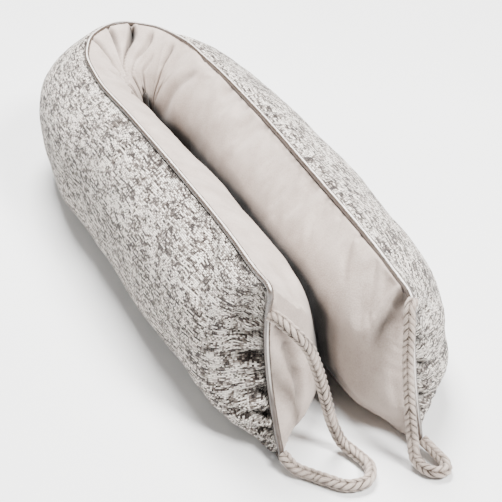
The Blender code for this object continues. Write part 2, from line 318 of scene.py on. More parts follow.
@dataclass
class SeamShape:
    """The seam's route and the driving sizes of the filled body on both sides of it."""

    outer_left: float = 56.0
    outer_bend: float = 58.0
    outer_right: float = 72.0
    inner_left: float = 56.0
    inner_right: float = 44.0
    sag: float = 30.0
    sag_reach: float = 50.0
    crest_height: float = 60.0
    lens_power: float = 3.0
    left_leg: float = 455.0
    right_leg: float = 465.0
    pocket_x: float = 14.0
    pocket_y: float = 505.0
    pocket_radius: float = 7.5
    rim_blend: float = 70.0
    outer_taper: float = 45.0
    inner_taper: float = 30.0
    taper_power: float = 0.72
    bow_left: float = 30.0
    bow_right: float = 8.0
    rake_left: float = 18.0
    rake_right: float = 25.0
    bow_reach: float = 60.0
    corner_radius: float = 10.0
    gather_depth: float = 0.13
    gather_pitch: float = 38.0
    gather_reach: float = 30.0
    thinnest: float = 0.5

    def __post_init__(self) -> None:
        """Draw the seam from above and its height and lean along it."""
        plan = [Vector((row.x, row.y, 0.0)) for row in SEAM_ROUTE]
        self.plan = Route(spline(plan, 24))
        marks = [0.0]
        for before, after in zip(plan, plan[1:]):
            marks.append(marks[-1] + (after - before).length)
        rows = [Vector((mark, row.top, row.lean)) for mark, row in zip(marks, SEAM_ROUTE)]
        self.profile = spline(rows, 12)
        self.profile_marks = [row.x for row in self.profile]
        self.chord = marks[-1]
        self.length = self.plan.length
        self.shift = Vector((0.0, 0.0, 0.0))
        self.bend_start = self.left_leg
        self.bend_end = self.length - self.right_leg

    def station(self, s: float) -> Station:
        """Return the seam's middle surface at a distance along it."""
        mark = min(max(s * self.chord / self.length, 0.0), self.chord)
        found = bisect.bisect_left(self.profile_marks, mark) - 1
        index = min(max(found, 0), len(self.profile) - 2)
        before = self.profile[index]
        after = self.profile[index + 1]
        row = before.lerp(after, (mark - before.x) / (after.x - before.x))
        heading = self.plan.heading(s)
        outward = Vector((-heading.y, heading.x, 0.0))
        return Station(s, self.plan.at(s), heading, outward, row.y, row.z, s, self.length - s, self)

    def from_end(self, s: float) -> float:
        """Return the distance to the nearer end of the seam, 0 beyond it."""
        return max(min(s, self.length - s), 0.0)

    def bend_share(self, s: float) -> float:
        """Return how far along the bend a place is, below 0 and above 1 on the legs."""
        return (s - self.bend_start) / (self.bend_end - self.bend_start)

    def reach(self, station: Station, side: Side) -> Vector:
        """Find how far a panel's crest stands off the middle surface.

        Args:
            station: The place along the seam.
            side: The panel.

        Returns:
            The vector from the middle surface to the crest.
        """
        s = station.s
        share = min(max(self.bend_share(s), 0.0), 1.0)
        near = self.from_end(s)
        if side is Side.WOVEN:
            legs = mix(self.outer_left, self.outer_right, smooth(share))
            width = mix(legs, self.outer_bend, math.sin(math.pi * smooth(share)))
            return station.outward * width * (1.0 - math.exp(-near / self.outer_taper)) ** self.taper_power
        turn = math.pi * share
        rim = Vector((-math.cos(turn), math.sin(turn), 0.0)) * self.pocket_radius
        pocket = Vector((self.pocket_x, self.pocket_y, self.crest_height)) + rim
        width = self.inner_left if share < 0.5 else self.inner_right
        full = (1.0 - math.exp(-near / self.inner_taper)) ** self.taper_power
        outside = max(self.bend_start - s, s - self.bend_end, 0.0)
        gathered = smooth(1.0 - outside / self.rim_blend)
        return (station.outward * -width * full).lerp(pocket - station.point(self.crest_height), gathered)

    def corner_drop(self, s: float) -> float:
        """Return how far the rounded corner falls below its full height."""
        short = max(self.corner_radius - self.from_end(s), 0.0)
        return self.corner_radius - math.sqrt(self.corner_radius ** 2 - short ** 2)


@dataclass
class SeamEdge:
    """The narrow gap that the piping fills between the panels' edges."""

    piping_radius: float = 2.5
    piping_lift: float = 0.3
    gap: float = 0.75
    panel_gap: float = 0.15
    angle_end: float = math.radians(22.0)
    angle_top: float = math.radians(76.0)
    angle_floor: float = math.radians(55.0)
    floor_width: float = 3.7
    start: float = 5.0
    full: float = 16.0
    foot_full: float = 26.0

    @property
    def clear(self) -> float:
        """Return the distance from the piping's line to the panels' groove."""
        return self.piping_radius + self.gap

    def heights(self, shape: SeamShape, station: Station) -> tuple[float, float]:
        """Return the lowest and highest level of the middle surface at a station."""
        beside = 2.0 * self.piping_radius + self.gap
        drop = shape.corner_drop(station.s)
        return self.piping_lift + beside + drop, station.top - beside - drop

    def groove(self, angle: float, edge: float, way: float) -> tuple[float, float]:
        """Return the width and height of a point on the groove round the piping."""
        return self.clear * math.sin(angle), edge + way * self.clear * (1.0 - math.cos(angle))


def value_map(mesh: bpy.types.Mesh, name: str, values: list[tuple[float, float, float]]) -> None:
    """Write three numbers a point into a mesh, for its material.

    Args:
        mesh: The mesh.
        name: The attribute's name.
        values: Three numbers for each point, in the mesh's order.
    """
    layer = mesh.attributes.new(name, "FLOAT_VECTOR", "POINT")
    layer.data.foreach_set("vector", [number for row in values for number in row])


def warped_grid(
    columns: int, rows: int, place: Callable[[int, int], Vector], closed: tuple[bool, bool]
) -> tuple[bmesh.types.BMesh, list[tuple[int, int]]]:
    """Bend a flat grid of faces into a surface and weld the edges that meet.

    Args:
        columns: How many faces the grid has along.
        rows: How many faces the grid has round.
        place: Gives the point in millimetres for a column and a row.
        closed: Whether the columns and the rows meet their own start.

    Returns:
        The mesh, and the column and row of each of its points.
    """
    mesh = bmesh.new()
    bmesh.ops.create_grid(mesh, x_segments=columns, y_segments=rows, size=0.5)
    at = mesh.verts.layers.int.new("column")
    round_at = mesh.verts.layers.int.new("row")
    for vert in mesh.verts:
        column = round((vert.co.x + 0.5) * columns)
        row = round((vert.co.y + 0.5) * rows)
        vert[at] = column
        vert[round_at] = row
        wrapped = (column % columns if closed[0] else column, row % rows if closed[1] else row)
        vert.co = place(*wrapped) * MM
    ends = ((closed[0], at, (0, columns)), (closed[1], round_at, (0, rows)))
    seam = [vert for vert in mesh.verts if any(meets and vert[key] in limits for meets, key, limits in ends)]
    bmesh.ops.remove_doubles(mesh, verts=seam, dist=1e-7)
    mesh.verts.index_update()
    places = [(vert[at], vert[round_at]) for vert in mesh.verts]
    return mesh, places


def close_holes(mesh: bmesh.types.BMesh) -> None:
    """Fill the open loops of a mesh and turn all its faces outwards."""
    rim = [edge for edge in mesh.edges if edge.is_boundary]
    if rim:
        made = bmesh.ops.holes_fill(mesh, edges=rim, sides=0)
        bmesh.ops.triangulate(mesh, faces=made["faces"])
    bmesh.ops.recalc_face_normals(mesh, faces=mesh.faces)


def finish_piece(
    mesh: bmesh.types.BMesh, name: str, node: str, material: bpy.types.Material
) -> bpy.types.Object:
    """Turn a bmesh into a shown piece that stands for a CAD node.

    Args:
        mesh: The finished mesh, in metres and in its place.
        name: The piece's name.
        node: The CAD node that it stands for, or nothing.
        material: The piece's finish.

    Returns:
        The piece, riding on the body.
    """
    data = bpy.data.meshes.new(name)
    mesh.to_mesh(data)
    mesh.free()
    data.shade_smooth()
    data.materials.append(material)
    piece = bpy.data.objects.new(name, data)
    bpy.context.scene.collection.objects.link(piece)
    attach(piece, "root")
    if node:
        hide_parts(node)
    LOG.info("%s: %d faces", name, len(data.polygons))
    return piece


class Graph:
    """A small desk for wiring the nodes of a material or a group."""

    def __init__(self, tree: bpy.types.NodeTree) -> None:
        """Keep the tree that the nodes go into."""
        self.tree = tree

    def add(self, kind: str, **settings: object) -> bpy.types.Node:
        """Add a node.

        Args:
            kind: The node's type name, without its ShaderNode prefix.
            settings: The node's own settings.

        Returns:
            The node.
        """
        node = self.tree.nodes.new("ShaderNode" + kind)
        for key, value in settings.items():
            setattr(node, key, value)
        return node

    def feed(self, socket: bpy.types.NodeSocket, value: object) -> None:
        """Give a socket a constant or link another socket to it."""
        if isinstance(value, bpy.types.NodeSocket):
            self.tree.links.new(value, socket)
        else:
            socket.default_value = value

    def painted_shade(self, edge: float, dark: float, depth: float, shut: float) -> bpy.types.NodeSocket:
        """Return a painted shade that darkens the cloth beside its seams, in its folds and where it is shut
        in.

        Args:
            edge: How far from a seam the cloth is darker, in millimetres.
            dark: The tone at the seam itself.
            depth: The share of light that each millimetre of a fold takes away.
            shut: The tone where other cloth lies close in front.

        Returns:
            A factor for the cloth's colour.
        """
        # The mark attribute holds the painted shade's masks: distance from a seam, fold relief and shut-in
        # share.
        away, rise, closed = self.split(self.attribute("mark"))
        seam = self.blend(self.math("MINIMUM", self.math("DIVIDE", away, edge), 1.0), dark, 1.0)
        fold = self.math("MULTIPLY_ADD", rise, depth, 1.0)
        fold = self.math("MINIMUM", self.math("MAXIMUM", fold, FOLD_SHADE_FLOOR), 1.0)
        inside = self.blend(self.soft_step(closed, SHUT_SHADE_FROM, SHUT_SHADE_FULL), 1.0, shut)
        return self.math("MULTIPLY", self.math("MULTIPLY", seam, fold), inside)

    def soft_step(self, value: object, low: float, high: float) -> bpy.types.NodeSocket:
        """Return a soft step from 0 at a low value to 1 at a high one."""
        node = self.add("MapRange", interpolation_type="SMOOTHSTEP")
        for label, given in (("Value", value), ("From Min", low), ("From Max", high)):
            self.feed(node.inputs[label], given)
        return node.outputs[0]

    def math(self, operation: str, *values: object) -> bpy.types.NodeSocket:
        """Return the result of a Math node on one, two or three values."""
        node = self.add("Math", operation=operation)
        for socket, value in zip(node.inputs, values):
            self.feed(socket, value)
        return node.outputs[0]

    def blend(self, share: object, first: object, second: object) -> bpy.types.NodeSocket:
        """Return a value that a share mixes from two values."""
        node = self.add("Mix", data_type="FLOAT")
        self.feed(node.inputs[0], share)
        self.feed(node.inputs[2], first)
        self.feed(node.inputs[3], second)
        return node.outputs[0]

    def vector(self, x: object, y: object, z: object = 0.0) -> bpy.types.NodeSocket:
        """Return a vector made of three values."""
        node = self.add("CombineXYZ")
        for socket, value in zip(node.inputs, (x, y, z)):
            self.feed(socket, value)
        return node.outputs[0]

    def split(self, vector: bpy.types.NodeSocket) -> tuple[bpy.types.NodeSocket, ...]:
        """Return the three values of a vector."""
        node = self.add("SeparateXYZ")
        self.feed(node.inputs[0], vector)
        return tuple(node.outputs)

    def attribute(self, name: str) -> bpy.types.NodeSocket:
        """Return a piece's own attribute as a vector."""
        return self.add("Attribute", attribute_name=name).outputs["Vector"]

    def noise(self, vector: bpy.types.NodeSocket, scale: float, detail: float = 2.0) -> bpy.types.NodeSocket:
        """Return soft noise between 0 and 1."""
        node = self.add("TexNoise")
        self.feed(node.inputs["Vector"], vector)
        self.feed(node.inputs["Scale"], scale)
        self.feed(node.inputs["Detail"], detail)
        return node.outputs["Factor"] if "Factor" in node.outputs else node.outputs["Fac"]

    def ramp(self, value: object, stops: tuple[tuple[float, Colour], ...]) -> bpy.types.NodeSocket:
        """Return a colour from a ramp of stops."""
        node = self.add("ValToRGB")
        while len(node.color_ramp.elements) < len(stops):
            node.color_ramp.elements.new(0.5)
        for element, (place, colour) in zip(node.color_ramp.elements, stops):
            element.position = place
            element.color = (*colour, 1.0)
        self.feed(node.inputs[0], value)
        return node.outputs["Color"]

    def shade(self, colour: object, factor: object) -> bpy.types.NodeSocket:
        """Return a colour that is darkened by a factor."""
        node = self.add("Mix", data_type="RGBA", blend_type="MULTIPLY")
        node.inputs[0].default_value = 1.0
        self.feed(node.inputs[6], colour)
        grey = self.add("CombineColor")
        for socket in grey.inputs:
            self.feed(socket, factor)
        self.feed(node.inputs[7], grey.outputs[0])
        return node.outputs[2]

    def bump(self, height: object, distance: float, strength: float = 1.0) -> bpy.types.NodeSocket:
        """Return a normal that a height raises."""
        node = self.add("Bump")
        node.inputs["Strength"].default_value = strength
        node.inputs["Distance"].default_value = distance
        self.feed(node.inputs["Height"], height)
        return node.outputs["Normal"]

    def place(self, group: bpy.types.NodeTree, **values: object) -> bpy.types.Node:
        """Place a node group and feed its inputs by name."""
        node = self.add("Group", node_tree=group)
        for key, value in values.items():
            self.feed(node.inputs[key], value)
        return node


def linear(red: int, green: int, blue: int) -> Colour:
    """Return a screen colour of 0 to 255 as the renderer's own light values."""
    return tuple(
        value / 12.92 if value <= 0.04045 else ((value + 0.055) / 1.055) ** 2.4
        for value in (red / 255.0, green / 255.0, blue / 255.0)
    )


def new_group(name: str, inputs: tuple[tuple[str, str], ...], outputs: tuple[str, ...]) -> tuple:
    """Start a shader node group.

    Args:
        name: The group's name.
        inputs: The name and socket type of each input.
        outputs: The name of each output, all values.

    Returns:
        The group, its desk, its input node and its output node.
    """
    group = bpy.data.node_groups.new(name, "ShaderNodeTree")
    for label, kind in inputs:
        group.interface.new_socket(name=label, in_out="INPUT", socket_type=kind)
    for label in outputs:
        group.interface.new_socket(name=label, in_out="OUTPUT", socket_type="NodeSocketFloat")
    desk = Graph(group)
    return group, desk, group.nodes.new("NodeGroupInput"), group.nodes.new("NodeGroupOutput")


class Effects:
    """The shader effects that more than one finish uses, each built once."""

    def __init__(self) -> None:
        """Build the groups."""
        self.nap = self.build_nap()
        self.weave = self.build_weave()

    def build_nap(self) -> bpy.types.NodeTree:
        """Return short soft fibres: a height and an uneven tone."""
        inputs = (("Vector", "NodeSocketVector"), ("Fibre Scale", "NodeSocketFloat"))
        group, desk, given, out = new_group("short_nap", inputs, ("Height", "Tone"))
        fine = desk.noise(given.outputs["Vector"], 1.0, 3.0)
        desk.feed(fine.node.inputs["Scale"], given.outputs["Fibre Scale"])
        wide = desk.noise(given.outputs["Vector"], 1.0, 2.0)
        desk.feed(wide.node.inputs["Scale"], desk.math("MULTIPLY", given.outputs["Fibre Scale"], 0.06))
        desk.feed(out.inputs["Height"], desk.blend(0.3, fine, wide))
        desk.feed(out.inputs["Tone"], desk.blend(0.55, fine, wide))
        return group

    def build_weave(self) -> bpy.types.NodeTree:
        """Return a plain weave: its height, the counted threads and which lies on top."""
        inputs = (("Vector", "NodeSocketVector"), ("Pitch", "NodeSocketFloat"))
        outputs = ("Height", "Warp", "Weft", "Over", "Row")
        group, desk, given, out = new_group("plain_weave", inputs, outputs)
        along, girth, _ = desk.split(given.outputs["Vector"])
        u = desk.math("DIVIDE", along, given.outputs["Pitch"])
        v = desk.math("DIVIDE", girth, given.outputs["Pitch"])
        weft = desk.math("FLOOR", u)
        warp = desk.math("FLOOR", v)
        half = desk.math("FRACT", desk.math("MULTIPLY", desk.math("ADD", weft, warp), 0.5))
        over = desk.math("GREATER_THAN", half, 0.25)

        def arch(value: bpy.types.NodeSocket) -> bpy.types.NodeSocket:
            """Return a rise from 0 at a thread's edges to 1 at its middle."""
            centred = desk.math("SUBTRACT", desk.math("MULTIPLY", desk.math("FRACT", value), 2.0), 1.0)
            return desk.math("SUBTRACT", 1.0, desk.math("MULTIPLY", centred, centred))

        across_warp = arch(v)
        across_weft = arch(u)
        low = 0.45
        warp_rise = desk.math("MULTIPLY", desk.math("SQRT", across_warp), desk.blend(across_weft, low, 1.0))
        weft_rise = desk.math("MULTIPLY", desk.math("SQRT", across_weft), desk.blend(across_warp, low, 1.0))
        desk.feed(out.inputs["Height"], desk.blend(over, warp_rise, weft_rise))
        desk.feed(out.inputs["Warp"], warp)
        desk.feed(out.inputs["Weft"], weft)
        desk.feed(out.inputs["Over"], over)
        desk.feed(out.inputs["Row"], across_warp)
        return group


def new_material(name: str) -> tuple[bpy.types.Material, Graph, bpy.types.Node]:
    """Start a material.

    Args:
        name: The material's name.

    Returns:
        The material, its desk and its Principled shader.
    """
    material = bpy.data.materials.new(name)
    material.use_nodes = True
    shader = material.node_tree.nodes["Principled BSDF"]
    return material, Graph(material.node_tree), shader


@dataclass(frozen=True)
class TweedFinish:
    """Coarse plain-woven cloth of mixed ecru, grey and dark brown yarn."""

    dark: Colour = linear(46, 36, 31)
    shade: Colour = linear(112, 101, 93)
    middle: Colour = linear(187, 177, 167)
    light: Colour = linear(248, 240, 229)
    pitch: float = 1.75
    sway: float = 5.0
    slub_run: float = 0.06
    dash_run: float = 0.13
    bind_run: float = 0.12
    cell_share: float = 0.34
    patch_share: float = 0.35
    tone_drop: float = 0.46
    # Painted shade in the gaps between threads and between rows of yarn.
    thread_gap_shade: float = 0.45
    row_gap_shade: float = 0.1

    def material(self, effects: Effects) -> bpy.types.Material:
        """Return the cloth's material."""
        material, desk, shader = new_material("tweed_cloth")
        cloth = desk.attribute("cloth")
        sway = desk.add("TexNoise")
        desk.feed(sway.inputs["Vector"], cloth)
        sway.inputs["Scale"].default_value = 0.03
        centred = desk.add("VectorMath", operation="SUBTRACT")
        desk.feed(centred.inputs[0], sway.outputs["Color"])
        centred.inputs[1].default_value = (0.5, 0.5, 0.5)
        swayed = desk.add("VectorMath", operation="MULTIPLY_ADD")
        desk.feed(swayed.inputs[0], centred.outputs[0])
        swayed.inputs[1].default_value = (self.sway, self.sway, 0.0)
        desk.feed(swayed.inputs[2], cloth)
        threads = desk.place(effects.weave, Vector=swayed.outputs[0], Pitch=self.pitch)
        along, girth, _ = desk.split(swayed.outputs[0])
        warp, weft, over = (threads.outputs[key] for key in ("Warp", "Weft", "Over"))
        warp_line = desk.vector(desk.math("MULTIPLY", along, self.slub_run), desk.math("MULTIPLY", warp, 7.3))
        thread = desk.math("MULTIPLY", warp, 3.7)
        dash_line = desk.vector(desk.math("MULTIPLY", along, self.dash_run), thread, 50.0)
        run = desk.math("MULTIPLY", girth, self.bind_run)
        weft_line = desk.vector(desk.math("MULTIPLY", weft, 9.1), run, 40.0)
        slub = desk.math("ADD", desk.math("MULTIPLY", desk.noise(warp_line, 1.0, 1.0), 1.5), -0.8)
        slub = desk.math("MULTIPLY_ADD", desk.noise(dash_line, 1.0, 1.0), 1.4, slub)
        bind = desk.math("MULTIPLY_ADD", desk.noise(weft_line, 1.0, 1.0), 1.3, -0.12)
        cell = desk.add("TexWhiteNoise", noise_dimensions="2D")
        desk.feed(cell.inputs["Vector"], desk.vector(weft, warp))
        patch = desk.noise(cloth, 0.035, 2.0)
        tone = desk.blend(desk.math("MULTIPLY", over, 0.6), slub, bind)
        tone = desk.math("MULTIPLY_ADD", cell.outputs["Value"], self.cell_share, tone)
        tone = desk.math("MULTIPLY_ADD", patch, self.patch_share, tone)
        tone = desk.math("SUBTRACT", tone, self.tone_drop)
        stops = ((0.28, self.dark), (0.42, self.shade), (0.54, self.middle), (0.68, self.light))
        # Painted shade: the colour darkens where the threads sink, between threads and between rows.
        gap = desk.math("MINIMUM", desk.math("MULTIPLY", threads.outputs["Height"], 1.6), 1.0)
        row = desk.math("MINIMUM", desk.math("MULTIPLY", threads.outputs["Row"], 1.5), 1.0)
        colour = desk.shade(desk.ramp(tone, stops), desk.blend(gap, self.thread_gap_shade, 1.0))
        colour = desk.shade(colour, desk.blend(row, self.row_gap_shade, 1.0))
        # Painted shade beside the seams, in the folds and where the cloth is shut in.
        desk.feed(shader.inputs["Base Color"], desk.shade(colour, desk.painted_shade(3.6, 0.3, 0.12, 0.8)))
        nap = desk.place(effects.nap, Vector=cloth, **{"Fibre Scale": 3.0})
        height = desk.blend(0.18, threads.outputs["Height"], nap.outputs["Height"])
        desk.feed(shader.inputs["Normal"], desk.bump(height, 0.0009))
        shader.inputs["Roughness"].default_value = 0.9
        shader.inputs["Sheen Weight"].default_value = 0.15
        shader.inputs["Specular IOR Level"].default_value = 0.25
        return material


@dataclass(frozen=True)
class FleeceFinish:
    """Plain short-pile fleece in a warm grey."""

    base: Colour = linear(187, 173, 163)
    deep: Colour = linear(165, 150, 140)

    def material(self, effects: Effects) -> bpy.types.Material:
        """Return the fleece's material."""
        material, desk, shader = new_material("warm_grey_fleece")
        where = desk.add("TexCoord").outputs["Object"]
        nap = desk.place(effects.nap, Vector=where, **{"Fibre Scale": 750.0})
        stops = ((0.35, self.deep), (0.62, self.base))
        colour = desk.ramp(nap.outputs["Tone"], stops)
        # Painted shade beside the seams, in the folds and, nearly black, where the fleece is shut in.
        desk.feed(shader.inputs["Base Color"], desk.shade(colour, desk.painted_shade(2.2, 0.35, 0.08, 0.06)))
        desk.feed(shader.inputs["Normal"], desk.bump(nap.outputs["Height"], 0.0007, 0.7))
        shader.inputs["Roughness"].default_value = 0.95
        shader.inputs["Sheen Weight"].default_value = 0.12
        shader.inputs["Sheen Roughness"].default_value = 0.5
        shader.inputs["Specular IOR Level"].default_value = 0.08
        return material


@dataclass(frozen=True)
class SatinFinish:
    """Satin bias tape that the piping is wrapped in, with a painted glint along the roll's outer side."""

    base: Colour = linear(84, 72, 64)
    shade: Colour = linear(62, 52, 46)
    painted_glint: Colour = linear(226, 218, 210)
    pitch: float = 0.5
    painted_glint_from: float = 0.9
    painted_glint_full: float = 0.985

    def material(self, effects: Effects) -> bpy.types.Material:
        """Return the tape's material."""
        material, desk, shader = new_material("satin_tape")
        along, girth, crest = desk.split(desk.attribute("cloth"))
        bias = desk.vector(desk.math("ADD", along, girth), desk.math("SUBTRACT", along, girth))
        threads = desk.place(effects.weave, Vector=bias, Pitch=self.pitch)
        worn = desk.noise(desk.vector(desk.math("MULTIPLY", along, 0.2), girth), 0.6, 2.0)
        stops = ((0.3, self.shade), (0.6, self.base))
        # Painted glint: a pale stripe along the side of the roll that faces out of the seam.
        painted_glint = desk.soft_step(crest, self.painted_glint_from, self.painted_glint_full)
        colour = desk.add("Mix", data_type="RGBA")
        for socket, value in zip((0, 6, 7), (painted_glint, desk.ramp(worn, stops), (*self.painted_glint, 1.0))):
            desk.feed(colour.inputs[socket], value)
        desk.feed(shader.inputs["Base Color"], colour.outputs[2])
        desk.feed(shader.inputs["Normal"], desk.bump(threads.outputs["Height"], 0.00006, 0.6))
        desk.feed(shader.inputs["Roughness"], desk.blend(worn, 0.2, 0.3))
        shader.inputs["Anisotropic"].default_value = 0.9
        desk.feed(shader.inputs["Tangent"], desk.attribute("lie"))
        shader.inputs["Specular IOR Level"].default_value = 1.0
        return material


@dataclass(frozen=True)
class CottonFinish:
    """Soft cotton of the plaited rope, with painted shade in the dips where its strands cross."""

    base: Colour = linear(146, 132, 121)
    deep: Colour = linear(56, 46, 39)
    light: Colour = linear(182, 168, 157)

    def material(self, effects: Effects) -> bpy.types.Material:
        """Return the rope's material."""
        material, desk, shader = new_material("cotton_rope")
        along, across, rise = desk.split(desk.attribute("strand"))
        lines = desk.vector(desk.math("MULTIPLY", along, 0.5), desk.math("MULTIPLY", across, 6.0))
        fibres = desk.noise(lines, 1.0, 2.0)
        where = desk.add("TexCoord").outputs["Object"]
        nap = desk.place(effects.nap, Vector=where, **{"Fibre Scale": 900.0})
        # Painted shade: the colour runs from dark where the strand's rise is low, between strands, to pale on
        # their tops.
        level = desk.math("MULTIPLY_ADD", desk.math("SUBTRACT", nap.outputs["Tone"], 0.5), 1.5, rise)
        yarn = desk.math("PINGPONG", across, 0.5)
        level = desk.math("MULTIPLY_ADD", yarn, 0.8, desk.math("SUBTRACT", level, 0.28))
        stops = ((0.1, self.deep), (0.5, self.base), (1.0, self.light))
        desk.feed(shader.inputs["Base Color"], desk.ramp(level, stops))
        height = desk.blend(0.4, fibres, nap.outputs["Height"])
        desk.feed(shader.inputs["Normal"], desk.bump(height, 0.0005, 0.8))
        shader.inputs["Roughness"].default_value = 0.9
        shader.inputs["Sheen Weight"].default_value = 0.25
        shader.inputs["Specular IOR Level"].default_value = 0.2
        return material


@dataclass(frozen=True)
class ThreadFinish:
    """Spun sewing thread of the stitches that close the ends."""

    base: Colour = linear(72, 61, 54)
    light: Colour = linear(98, 86, 78)

    def material(self, effects: Effects) -> bpy.types.Material:
        """Return the thread's material."""
        material, desk, shader = new_material("sewing_thread")
        where = desk.add("TexCoord").outputs["Object"]
        nap = desk.place(effects.nap, Vector=where, **{"Fibre Scale": 2500.0})
        tone = desk.ramp(nap.outputs["Tone"], ((0.3, self.base), (0.7, self.light)))
        desk.feed(shader.inputs["Base Color"], tone)
        desk.feed(shader.inputs["Normal"], desk.bump(nap.outputs["Height"], 0.0002, 0.5))
        shader.inputs["Roughness"].default_value = 0.7
        return material


@dataclass(frozen=True)
class Swelling:
    """Cloth that is simulated under the pressure of the filling."""

    frames: int = 20
    pressure: float = 4.0
    growth: float = 0.03
    stiffness: float = 12.0
    bending: float = 0.25

    def settle(self, mesh: bmesh.types.BMesh, pinned: list[int]) -> list[Vector]:
        """Simulate a sheet of cloth and return where its points come to rest.

        Args:
            mesh: The sheet, with its faces outwards.
            pinned: The points that are sewn into a seam and stay.

        Returns:
            The place of each point, in metres.
        """
        data = bpy.data.meshes.new("sheet")
        mesh.to_mesh(data)
        mesh.free()
        sheet = bpy.data.objects.new("sheet", data)
        scene = bpy.context.scene
        scene.collection.objects.link(sheet)
        sheet.vertex_groups.new(name="sewn").add(pinned, 1.0, "REPLACE")
        cloth = sheet.modifiers.new("cloth", "CLOTH")
        settings = cloth.settings
        settings.quality = 6
        settings.tension_stiffness = self.stiffness
        settings.compression_stiffness = self.stiffness
        settings.bending_stiffness = self.bending
        settings.use_pressure = True
        settings.uniform_pressure_force = self.pressure
        settings.shrink_min = -self.growth
        settings.vertex_group_mass = "sewn"
        settings.effector_weights.gravity = 0.0
        cloth.collision_settings.use_collision = False
        for frame in range(1, self.frames + 1):
            scene.frame_set(frame)
        settled = sheet.evaluated_get(bpy.context.evaluated_depsgraph_get())
        points = [vert.co.copy() for vert in settled.data.vertices]
        bpy.data.objects.remove(sheet)
        scene.frame_set(1)
        return points


